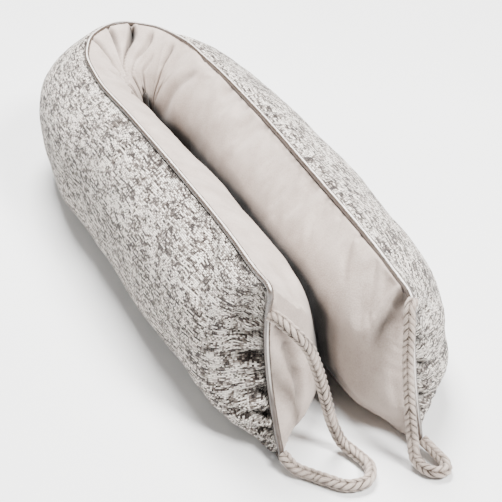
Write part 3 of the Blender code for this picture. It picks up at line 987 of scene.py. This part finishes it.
@dataclass
class FilledPanel:
    """One cloth panel with its half of the filling, closed along the seam's middle surface."""

    side: Side
    name: str
    node: str
    shape: SeamShape
    edge: SeamEdge
    columns: int = 520
    skin_rows: int = 84
    middle_rows: int = 8
    floor_round: float = 13.0
    full_girth: float = 235.0
    deepest: float = 0.27
    stride: int = 2
    most: float = 3.0
    slack: float = 2.2
    sight: float = 0.15
    closeness: float = 0.065
    softening: int = 3
    fill: float = 0.9
    levels: int = 44
    fold_end: float = 0.3
    fold_fade: float = 0.16
    valley_end: float = 40.0
    crease_end: float = 60.0
    crease_fade: float = 26.0
    squeeze_power: float = 0.65

    def __post_init__(self) -> None:
        """Space the columns, closer together at the ends and round the bend."""
        ease = [index / self.columns for index in range(self.columns + 1)]
        length = self.shape.length
        self.stops = [length * (u - 0.06 * math.sin(2.0 * math.pi * 2.0 * u) / 2.0) for u in ease]

    def fold(self, s: float, v: float) -> float:
        """Return how far the fleece's folds round the bend rise or sink at a place on the skin."""
        share = self.shape.bend_share(s)
        curl = min(v, self.deepest) ** 3
        rise = 0.0
        for row in PLEATS:
            across = (share - row.place - row.drift * curl) / (row.width * (0.45 + 0.55 * smooth(v / 0.1)))
            if abs(across) > 6.0:
                continue
            begun = smooth((v - row.start) / 0.07) if row.start else smooth(v / 0.03)
            valley = math.exp(-abs(across) ** 1.25)
            ridge = math.exp(-((abs(across) - 2.3) / 1.2) ** 2)
            rise += row.depth * begun * (0.22 * ridge - valley)
        return rise * (1.0 - smooth((v - self.fold_end) / self.fold_fade))

    def valley(self, s: float, z: float) -> float:
        """Return how deep the long dent of a fleece end is at a place."""
        near = self.shape.from_end(s)
        row = LEFT_VALLEY if s < self.shape.length / 2.0 else RIGHT_VALLEY
        if near > self.valley_end:
            return 0.0
        across = (near - row.near - row.slope * (row.height - z)) / row.width
        shown = smooth((row.height - z) / 8.0 + 0.5) * smooth((z - row.low) / 22.0)
        uneven = 0.9 + 0.1 * math.cos(2.0 * math.pi * (row.height - z - 8.0) / 21.0)
        dent = math.exp(-across * across) - 0.1 * math.exp(-((abs(across) - 1.9) ** 2))
        return row.depth * uneven * shown * dent

    def crease(self, s: float, z: float, lateral: float) -> float:
        """Return how deep the creases that run out from the end seams are."""
        near = self.shape.from_end(s)
        if near > self.crease_end:
            return 0.0
        rows = FLEECE_CREASES
        if self.side is Side.WOVEN:
            rows = LEFT_CREASES if s < self.shape.length / 2.0 else RIGHT_CREASES
        depth = 0.0
        for row in rows:
            wander = 2.0 * noise.noise(Vector((lateral * 0.08, row.height, 0.0)))
            across = (z - row.height + row.fall * lateral - wander) / row.width
            valley = math.exp(-across * across) - 0.35 * math.exp(-((abs(across) - 1.7) / 0.8) ** 2)
            depth += row.depth * valley * math.exp(-((lateral / row.reach) ** 2))
        return depth * smooth(lateral / 3.0) * math.exp(-near / self.crease_fade)

    def lumps(self, point: Vector) -> float:
        """Return the soft unevenness of the filling under the cloth."""
        broad = noise.noise(point * 0.014)
        small = noise.noise(point * 0.05 + Vector((31.0, 7.0, 3.0)))
        return 2.0 * broad + 0.6 * small

    def relief(self, station: Station, point: Vector, v: float, squeeze: float) -> float:
        """Work out how far a point of the skin rises off the plain filled shape.

        Args:
            station: The place along the seam.
            point: The point of the skin.
            v: How far down the skin it lies, from 0 at the top seam to 1 at the bottom one.
            squeeze: The share of their room at the seam that the folds have left there.

        Returns:
            The rise along the skin's normal, below 0 inwards.
        """
        z = point.z
        lateral = (point - station.point(z)).length
        near = self.shape.from_end(station.s)
        calm = smooth((station.top - z) / 30.0) * smooth(z / 24.0) * smooth(near / 40.0)
        rise = self.lumps(point) * calm - self.crease(station.s, z, lateral) * smooth(z / 10.0)
        if self.side is Side.FLEECE:
            folded = self.fold(station.s, v) * min(squeeze, 1.0) ** self.squeeze_power
            rise += folded - self.valley(station.s, z)
        return rise

    def outline(self, station: Station) -> tuple[list[Vector], list[Vector]]:
        """Work out the section of the panel at a station.

        Args:
            station: The place along the seam.

        Returns:
            The skin from the upper groove to the lower one, and the middle surface going back up.
        """
        shape = self.shape
        edge = self.edge
        sign = self.side.value
        low, high = edge.heights(shape, station)
        reach = shape.reach(station, self.side)
        width = max(reach.length, shape.thinnest)
        direction = reach.normalized() if reach.length > shape.thinnest else station.outward * sign
        near = shape.from_end(station.s)
        opening = smooth((near - edge.start) / (edge.full - edge.start))
        landing = smooth((near - edge.full) / (edge.foot_full - edge.full))
        upper_angle = mix(edge.angle_end, edge.angle_top, opening)
        foot_angle = mix(edge.angle_end, math.pi / 2.0, opening)
        lip_width, lip_height = edge.groove(upper_angle, high, 1.0)
        foot_width, foot_height = edge.groove(foot_angle, low, -1.0)
        foot_width = mix(foot_width, edge.floor_width, landing)
        foot_height = mix(foot_height, 0.0, landing)

        def beside(lateral: float, z: float, stand: float = 0.0) -> Vector:
            """Place a point off the middle surface and on towards the crest."""
            return station.point(z) + station.outward * sign * lateral + direction * stand

        lower = edge.groove(mix(foot_angle / 2.0, edge.angle_floor, landing), low, -1.0)
        skin = [beside(*edge.groove(upper_angle * part, high, 1.0)) for part in (0.4, 0.7)]
        sag = shape.sag * smooth(near / shape.sag_reach)
        for step in range(self.levels + 1):
            level = 0.5 + 0.5 * math.cos(math.pi * step / self.levels)
            z = mix(foot_height, lip_height, level)
            t = (z - foot_height + sag) / (lip_height - foot_height + sag)
            lens = 1.0 - abs(2.0 * t - 1.0) ** shape.lens_power
            stand = width * lens
            if self.side is Side.WOVEN:
                wave = math.cos(2.0 * math.pi * z / shape.gather_pitch) * math.exp(-near / shape.gather_reach)
                stand *= 1.0 + shape.gather_depth * wave
            short = max(self.floor_round - (z - foot_height), 0.0) * landing
            stand -= self.floor_round - math.sqrt(self.floor_round ** 2 - short ** 2)
            skin.append(beside(mix(foot_width, lip_width, level), z, max(stand, 0.0)))
        skin += [beside(foot_width, foot_height), beside(*lower)]
        middle = []
        for step in range(self.middle_rows + 1):
            point = station.point(mix(low, high, step / self.middle_rows))
            middle.append(point + station.outward * sign * edge.panel_gap)
        return skin, middle

    def build(self, material: bpy.types.Material) -> bpy.types.Object:
        """Model the panel.

        Args:
            material: The cloth's finish.

        Returns:
            The panel, riding on the body.
        """
        shape = self.shape
        stations = [shape.station(s) for s in self.stops]
        rings = []
        crest = [0.0]
        for station in stations:
            skin, middle = self.outline(station)
            rings.append(Route(skin).even(self.skin_rows + 1) + middle)
            halfway = self.skin_rows // 3
            if len(rings) > 1:
                crest.append(crest[-1] + (rings[-1][halfway] - rings[-2][halfway]).length)
        self.swell(rings)
        count = len(rings[0])
        raised = [list(ring) for ring in rings]
        rises = {}
        for column, station in enumerate(stations):
            before = rings[max(column - 1, 0)]
            after = rings[min(column + 1, self.columns)]
            spread = (after[1] - before[1]).length
            for row in range(1, self.skin_rows):
                squeeze = (after[row] - before[row]).length / spread
                rise = self.relief(station, rings[column][row], row / self.skin_rows, squeeze)
                rises[column, row] = rise
                raised[column][row] = rings[column][row] + self.normal(rings, column, row) * rise

        def place(column: int, row: int) -> Vector:
            """Return the point of a column and a row of the panel's grid."""
            return raised[column][row] + shape.shift

        mesh, places = warped_grid(self.columns, count, place, (False, True))
        close_holes(mesh)
        away = self.seam_distances(rings)
        values = []
        marks = []
        for column, row in places:
            around = row % count
            share = min(around / self.skin_rows, 1.0)
            values.append((crest[column], share * self.full_girth, shape.from_end(self.stops[column])))
            marks.append((away.get((column, around), 0.0), rises.get((column, around), 0.0)))
        piece = finish_piece(mesh, self.name, self.node, material)
        value_map(piece.data, "cloth", values)
        closed = self.shut_in(piece.data)
        # The mark attribute carries the painted shade's masks: seam distance, fold relief and shut-in share.
        value_map(piece.data, "mark", [(*mark, share) for mark, share in zip(marks, closed)])
        return piece

    def normal(self, rings: list[list[Vector]], column: int, row: int) -> Vector:
        """Return the direction out of the skin at a column and a row."""
        along = rings[min(column + 1, self.columns)][row] - rings[max(column - 1, 0)][row]
        down = rings[column][row + 1] - rings[column][row - 1]
        return along.cross(down).normalized() * self.side.value

    def swell(self, rings: list[list[Vector]]) -> None:
        """Let simulated cloth settle over the skin under pressure, and move the skin with it."""
        columns = range(0, self.columns + 1, self.stride)
        rows = range(0, self.skin_rows + 1, self.stride)

        smaller = [list(ring) for ring in rings]
        for column, ring in enumerate(rings):
            near = self.shape.from_end(self.stops[column])
            for row in range(1, self.skin_rows):
                side = min(row, self.skin_rows - row) / self.skin_rows
                slack = self.slack * smooth(side / 0.12) * smooth(near / 14.0)
                smaller[column][row] = ring[row] - self.normal(rings, column, row) * slack

        def place(column: int, row: int) -> Vector:
            """Return the point of the sheet at a column and a row."""
            return smaller[columns[column]][rows[row]]

        mesh, places = warped_grid(len(columns) - 1, len(rows) - 1, place, (False, False))
        mesh.normal_update()
        mesh.verts.ensure_lookup_table()
        sample = places.index((len(columns) // 2, len(rows) // 2))
        outwards = self.normal(rings, *(self.stride * number for number in places[sample]))
        if mesh.verts[sample].normal.dot(outwards) < 0.0:
            bmesh.ops.reverse_faces(mesh, faces=mesh.faces)
        edges = ({0, len(columns) - 1}, {0, len(rows) - 1})
        pinned = [index for index, (c, r) in enumerate(places) if c in edges[0] or r in edges[1]]
        moved = {}
        for (column, row), point in zip(places, Swelling().settle(mesh, pinned)):
            step = point / MM - place(column, row)
            moved[column, row] = step * min(1.0, self.most / max(step.length, 1e-6))
        for column in range(self.columns + 1):
            for row in range(1, self.skin_rows):
                c, r = min(column // self.stride, len(columns) - 2), min(row // self.stride, len(rows) - 2)
                u, v = column / self.stride - c, row / self.stride - r
                upper = moved[c, r].lerp(moved[c + 1, r], u)
                lower = moved[c, r + 1].lerp(moved[c + 1, r + 1], u)
                point = smaller[column][row] + upper.lerp(lower, v)
                point.z = max(point.z, 0.0)
                rings[column][row] = point

    def shut_in(self, data: bpy.types.Mesh) -> list[float]:
        """Return for each point how much of the cloth's own other side stands in front of it, the mask of the
        painted shade.
        """
        tree = BVHTree.FromPolygons([v.co for v in data.vertices], [tuple(f.vertices) for f in data.polygons])
        shares = []
        for vert in data.vertices:
            across = vert.normal.cross(UP)
            found = 0.0
            for lean in (-0.5, 0.0, 0.5):
                for lift in (0.15, 0.9):
                    way = (vert.normal + across * lean + UP * lift).normalized()
                    _, _, _, reach = tree.ray_cast(vert.co + vert.normal * 0.0015, way, self.sight)
                    found += 0.0 if reach is None else math.exp(-reach / self.closeness)
            shares.append(found / 6.0)
        for _ in range(self.softening):
            sums = list(shares)
            counts = [1] * len(shares)
            for edge in data.edges:
                first, second = edge.vertices
                sums[first] += shares[second]
                sums[second] += shares[first]
                counts[first] += 1
                counts[second] += 1
            shares = [total / count for total, count in zip(sums, counts)]
        return shares

    def seam_distances(self, rings: list[list[Vector]]) -> dict[tuple[int, int], float]:
        """Measure how far each place on the skin is from the nearest seam, over the cloth, for the painted
        shade beside the seams.
        """
        away = {}
        last = len(rings) - 1
        for row in range(self.skin_rows + 1):
            gone = [0.0]
            for before, after in zip(rings, rings[1:]):
                gone.append(gone[-1] + (after[row] - before[row]).length)
            for column in range(last + 1):
                girth = row * (rings[column][1] - rings[column][0]).length
                away[column, row] = min(girth, gone[column], gone[last] - gone[column])
        return away


@dataclass
class SweptTube:
    """A round tube along a line, whose surface a function may raise."""

    line: list[Vector]
    radius: float
    around: int
    shift: Vector
    closed: bool = False

    def frames(self) -> list[tuple[Vector, Vector]]:
        """Return two directions across the line at each of its points, free of twist."""
        count = len(self.line)
        tangents = []
        for index in range(count):
            before = self.line[index - 1 if self.closed else max(index - 1, 0)]
            after = self.line[(index + 1) % count if self.closed else min(index + 1, count - 1)]
            tangents.append((after - before).normalized())
        across = tangents[0].cross(UP if abs(tangents[0].z) < 0.9 else Vector((0.0, 1.0, 0.0))).normalized()
        found = []
        for tangent in tangents:
            across = (across - tangent * across.dot(tangent)).normalized()
            found.append((across.copy(), tangent.cross(across)))
        if not self.closed:
            return found
        first = found[0][0]
        last = (across - tangents[0] * across.dot(tangents[0])).normalized()
        twist = math.atan2(first.dot(tangents[0].cross(last)), first.dot(last))
        turned = []
        for index, (side, over) in enumerate(found):
            angle = twist * index / count
            cos, sin = math.cos(angle), math.sin(angle)
            turned.append((side * cos + over * sin, over * cos - side * sin))
        return turned

    def build(self, rise: Callable[[float, float], tuple[float, tuple[float, float, float]]]) -> tuple:
        """Model the tube.

        Args:
            rise: Gives the radius and the material's three numbers for a distance and an angle.

        Returns:
            The mesh, and the three numbers and the column of each point.
        """
        frames = self.frames()
        count = len(self.line)
        marks = [0.0]
        for before, after in zip(self.line, self.line[1:]):
            marks.append(marks[-1] + (after - before).length)

        def place(column: int, row: int) -> Vector:
            """Return the point of a column and a row of the tube's grid."""
            angle = 2.0 * math.pi * row / self.around
            radius, _ = rise(marks[column], angle)
            side, over = frames[column]
            return self.line[column] + (side * math.cos(angle) + over * math.sin(angle)) * radius + self.shift

        columns = count if self.closed else count - 1
        mesh, places = warped_grid(columns, self.around, place, (self.closed, True))
        close_holes(mesh)
        turn = 2.0 * math.pi / self.around
        values = [rise(marks[column % count], (row % self.around) * turn)[1] for column, row in places]
        return mesh, values, [column % count for column, _ in places]


@dataclass
class Piping:
    """The closed roll of satin tape in the seam."""

    shape: SeamShape
    edge: SeamEdge
    step: float = 2.2
    around: int = 14
    pucker: float = 0.32
    pucker_pitch: float = 5.5

    def settle(self) -> None:
        """Place the seam's frame in the part's frame by the piping's box."""
        ring, _ = self.ring()
        low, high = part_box("piping")
        for axis in range(2):
            middle = (min(point[axis] for point in ring) + max(point[axis] for point in ring)) / 2.0
            self.shape.shift[axis] = (low[axis] + high[axis]) / 2.0 / MM - middle

    def ring(self) -> tuple[list[Vector], list[Vector]]:
        """Return the closed line of the piping and the way out of the seam at each of its points."""
        shape = self.shape
        clear = self.edge.clear
        beyond = shape.corner_radius + clear
        steps = 8
        count = round((shape.length - 2.0 * shape.corner_radius) / self.step)
        near, far = shape.corner_radius, shape.length - shape.corner_radius
        runs = [mix(near, far, k / count) for k in range(count + 1)]
        upper = []
        lower = []
        for s in runs:
            station = shape.station(s)
            low, high = self.edge.heights(shape, station)
            upper.append((station.point(high + clear), UP))
            lower.append((station.point(low - clear), -UP))

        def end_side(end: float, inward: float) -> list[tuple[Vector, Vector]]:
            """Return one end's points from its upper corner down to its lower corner."""
            low, high = self.edge.heights(shape, shape.station(end))
            centre = end + inward * shape.corner_radius
            away = shape.station(end).heading * -inward
            points = []
            for step in range(1, steps):
                angle = math.pi / 2.0 * step / steps
                station = shape.station(centre - inward * beyond * math.sin(angle))
                slope = station.top - shape.station(end).top
                point = station.point(high + slope + beyond * math.cos(angle))
                points.append((point, away * math.sin(angle) + UP * math.cos(angle)))
            beside = shape.station(end - inward * clear)
            drops = round((high - low) / self.step)
            points += [(beside.point(mix(high, low, k / drops)), away) for k in range(drops + 1)]
            for step in range(steps - 1, 0, -1):
                angle = math.pi / 2.0 * step / steps
                station = shape.station(centre - inward * beyond * math.sin(angle))
                point = station.point(low - beyond * math.cos(angle))
                points.append((point, away * math.sin(angle) - UP * math.cos(angle)))
            return points

        right = end_side(shape.length, -1.0)
        left = end_side(0.0, 1.0)
        around = upper + right + list(reversed(lower)) + list(reversed(left))
        return [point for point, _ in around], [way for _, way in around]

    def build(self, material: bpy.types.Material) -> bpy.types.Object:
        """Model the roll of tape."""
        ring, glint_ways = self.ring()
        tube = SweptTube(ring, self.edge.piping_radius, self.around, self.shape.shift, closed=True)

        def rise(distance: float, angle: float) -> tuple[float, tuple[float, float, float]]:
            """Return the roll's radius, a little puckered, and its tape coordinates."""
            wave = noise.noise(Vector((distance / self.pucker_pitch, math.cos(angle), math.sin(angle))))
            radius = self.edge.piping_radius
            return radius + self.pucker * wave, (distance, angle * radius, 0.0)

        mesh, values, columns = tube.build(rise)
        piece = finish_piece(mesh, "satin_piping", "piping", material)
        shown = []
        for vert, (along, girth, _), column in zip(piece.data.vertices, values, columns):
            stand = (vert.co / MM - self.shape.shift - tube.line[column]).normalized()
            # The third number says how far the roll faces out of the seam, and places the satin's painted
            # glint.
            shown.append((along, girth, stand.dot(glint_ways[column])))
        value_map(piece.data, "cloth", shown)
        lies = [side.cross(over) for side, over in tube.frames()]
        value_map(piece.data, "lie", [lies[column] for column in columns])
        return piece


@dataclass
class EndStitches:
    """Small stitches on the fleece side that close the panels' ends beside the piping."""

    shape: SeamShape
    edge: SeamEdge
    pitch: float = 3.0
    length: float = 3.2
    thickness: float = 0.6
    first: float = 14.0
    inset: float = 1.6
    stand: float = 3.2
    spread: float = 3.0

    def build(self, material: bpy.types.Material) -> bpy.types.Object:
        """Model the stitches of both ends as one piece."""
        mesh = bmesh.new()
        for end, inward in ((0.0, 1.0), (self.shape.length, -1.0)):
            station = self.shape.station(end + inward * self.inset)
            low, high = self.edge.heights(self.shape, station)
            count = int((high - low - 2.0 * self.first) / self.pitch)
            for index in range(count):
                z = low + self.first + index * self.pitch
                self.stitch(mesh, station, z, inward)
        return finish_piece(mesh, "end_stitches", "", material)

    def stitch(self, mesh: bmesh.types.BMesh, station: Station, z: float, inward: float) -> None:
        """Add one stitch.

        Args:
            mesh: The mesh that takes it.
            station: The place beside the end seam.
            z: The stitch's height.
            inward: 1 at the left end and -1 at the right one.
        """
        made = bmesh.ops.create_uvsphere(mesh, u_segments=6, v_segments=4, radius=0.5)
        start = station.point(z) - station.outward * self.stand
        stop = start + station.heading * inward * self.length - station.outward * self.spread
        lie = stop - start
        turn = lie.to_track_quat("X", "Z")
        for vert in made["verts"]:
            co = vert.co
            local = Vector((co.x * lie.length, co.y * self.thickness * 2.0, co.z * self.thickness * 2.0))
            vert.co = (start.lerp(stop, 0.5) + turn @ local + self.shape.shift) * MM


@dataclass
class RopeHandle:
    """A plaited cotton rope, sewn into an end seam at its top and its bottom."""

    name: str
    node: str
    rows: tuple[RopeRow, ...]
    left: bool
    top: float
    shape: SeamShape
    edge: SeamEdge
    radius: float = 4.9
    gap: float = 0.5
    lead: float = 5.0
    turn: float = math.radians(45.0)
    sewn_in: float = 2.0
    bottom: float = 12.5
    bottom_gap: float = 3.0
    step: float = 0.55
    around: int = 48
    columns_round: int = 4
    plait_pitch: float = 6.0
    plait_depth: float = 1.6
    slant: float = 1.2
    sway: float = 0.45
    sway_length: float = 9.0

    def line(self) -> Route:
        """Return the rope's line from the top of the end seam to its bottom."""
        end = 0.0 if self.left else self.shape.length
        inward = 1.0 if self.left else -1.0
        station = self.shape.station(end)
        edge = station.point(self.top)
        climb = (station.point(self.top + 1.0) - edge).normalized()
        away = climb.cross(station.outward) * inward
        lead = away * math.cos(self.turn) - station.outward * math.sin(self.turn)
        beyond = self.shape.corner_radius + self.edge.clear
        rise = max(self.top - self.radius - self.edge.heights(self.shape, station)[1], 0.0)
        roll = edge + away * (math.sqrt(beyond ** 2 - rise ** 2) - self.shape.corner_radius)
        start = [roll + lead * (self.edge.piping_radius + self.gap - self.sewn_in)]
        start.append(start[0] + lead * (self.lead + self.sewn_in))
        front = 2.0 * self.edge.piping_radius + self.edge.gap + self.gap
        foot = end - inward * (front + self.bottom_gap - self.sewn_in)
        finish = self.shape.station(foot).point(self.bottom)
        return Route(spline(start + [Vector(row) for row in self.rows] + [finish], 24))

    def strand(self, distance: float, angle: float) -> tuple[float, tuple[float, float, float]]:
        """Find the plait's surface.

        Args:
            distance: The distance along the rope.
            angle: The angle round it.

        Returns:
            The radius there, and the strand's own coordinates with its rise from 0 to 1.
        """
        turn = angle / (2.0 * math.pi) * self.columns_round
        column = int(turn) % self.columns_round
        u = turn - int(turn)
        lean = u if column % 2 == 0 else 1.0 - u
        pull = noise.noise(Vector((distance / self.sway_length, column * 5.0, 0.0)))
        phase = distance / self.plait_pitch + self.slant * lean + self.sway * pull
        across = phase - math.floor(phase)
        arch = 1.0 - abs(2.0 * across - 1.0) ** 2.2
        over = math.sin(math.pi * min(max(u, 0.02), 0.98)) ** 0.6
        rise = arch ** 0.55 * (0.25 + 0.75 * over)
        radius = self.radius - self.plait_depth * (1.0 - rise) + 0.25
        return radius, (distance, across * 4.0 + math.floor(phase) * 3.1 + column, rise)

    def build(self, material: bpy.types.Material) -> bpy.types.Object:
        """Args:
            material: The rope's finish.

        Returns:
            The rope, riding on the body.
        """
        route = self.line()
        line = route.even(round(route.length / self.step) + 1)
        tube = SweptTube(line, self.radius, self.around, self.shape.shift)
        mesh, values, _ = tube.build(self.strand)
        piece = finish_piece(mesh, self.name, self.node, material)
        value_map(piece.data, "strand", values)
        return piece


@dataclass
class Studio:
    """The camera, the pale floor and the soft lights."""

    eye: tuple[float, float, float] = (-0.3451, -0.9890, 0.6629)
    target: tuple[float, float, float] = (-0.0108, -0.1181, 0.08)
    lens: float = 89.64
    floor_size: float = 12.0

    def camera(self) -> None:
        """Make the camera at the photograph's place."""
        data = bpy.data.cameras.new("camera")
        data.lens = self.lens
        data.sensor_width = 36.0
        made = bpy.data.objects.new("camera", data)
        bpy.context.scene.collection.objects.link(made)
        made.location = self.eye
        way = Vector(self.target) - Vector(self.eye)
        made.rotation_euler = way.to_track_quat("-Z", "Y").to_euler()
        bpy.context.scene.camera = made

    def light(self, name: str, place: Vector, size: float, power: float) -> None:
        """Add a soft square light that faces the part.

        Args:
            name: The light's name.
            place: Where it stands, in metres.
            size: The length of its side in metres.
            power: Its power in watts.
        """
        data = bpy.data.lights.new(name, "AREA")
        data.size = size
        data.energy = power
        made = bpy.data.objects.new(name, data)
        bpy.context.scene.collection.objects.link(made)
        made.location = place
        made.rotation_euler = (Vector((0.0, 0.0, 0.05)) - place).to_track_quat("-Z", "Y").to_euler()

    def floor(self) -> None:
        """Make the pale floor."""
        mesh = bmesh.new()
        bmesh.ops.create_grid(mesh, x_segments=1, y_segments=1, size=self.floor_size / 2.0)
        data = bpy.data.meshes.new("floor")
        mesh.to_mesh(data)
        mesh.free()
        material, desk, shader = new_material("pale_floor")
        where = desk.add("TexCoord").outputs["Object"]
        pale = linear(232, 232, 231)
        grain = desk.ramp(desk.noise(where, 3.0), ((0.3, linear(229, 229, 228)), (0.7, pale)))
        desk.feed(shader.inputs["Base Color"], grain)
        shader.inputs["Roughness"].default_value = 0.7
        data.materials.append(material)
        made = bpy.data.objects.new("floor", data)
        bpy.context.scene.collection.objects.link(made)

    def lights(self) -> None:
        """Make the soft lights and the pale surroundings."""
        self.light("key", Vector((0.8, -1.5, 1.9)), 0.6, 160.0)
        self.light("overhead", Vector((0.1, 0.8, 2.3)), 1.0, 246.0)
        self.light("left", Vector((-2.0, 0.6, 1.5)), 1.2, 22.0)
        world = bpy.data.worlds.new("surroundings")
        world.use_nodes = True
        ground = world.node_tree.nodes["Background"]
        ground.inputs["Color"].default_value = (1.0, 1.0, 1.0, 1.0)
        ground.inputs["Strength"].default_value = 0.14
        bpy.context.scene.world = world


def main() -> None:
    """Build the dressed draught excluder in its studio."""
    logging.basicConfig(level=logging.INFO, format="%(name)s: %(message)s")
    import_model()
    studio = Studio()
    studio.camera()
    effects = Effects()
    shape = SeamShape()
    edge = SeamEdge()
    piping = Piping(shape, edge)
    piping.settle()
    cotton = CottonFinish().material(effects)
    RopeHandle("rope_left", "handle_left", LEFT_ROPE, True, 130.0, shape, edge).build(cotton)
    RopeHandle("rope_right", "handle_right", RIGHT_ROPE, False, 130.0, shape, edge).build(cotton)
    woven = FilledPanel(Side.WOVEN, "tweed_panel", "woven_panel", shape, edge)
    woven.build(TweedFinish().material(effects))
    fleece = FilledPanel(Side.FLEECE, "fleece_cloth", "fleece_panel", shape, edge)
    fleece.build(FleeceFinish().material(effects))
    piping.build(SatinFinish().material(effects))
    EndStitches(shape, edge).build(ThreadFinish().material(effects))
    studio.floor()
    studio.lights()


if __name__ == "__main__":
    main()
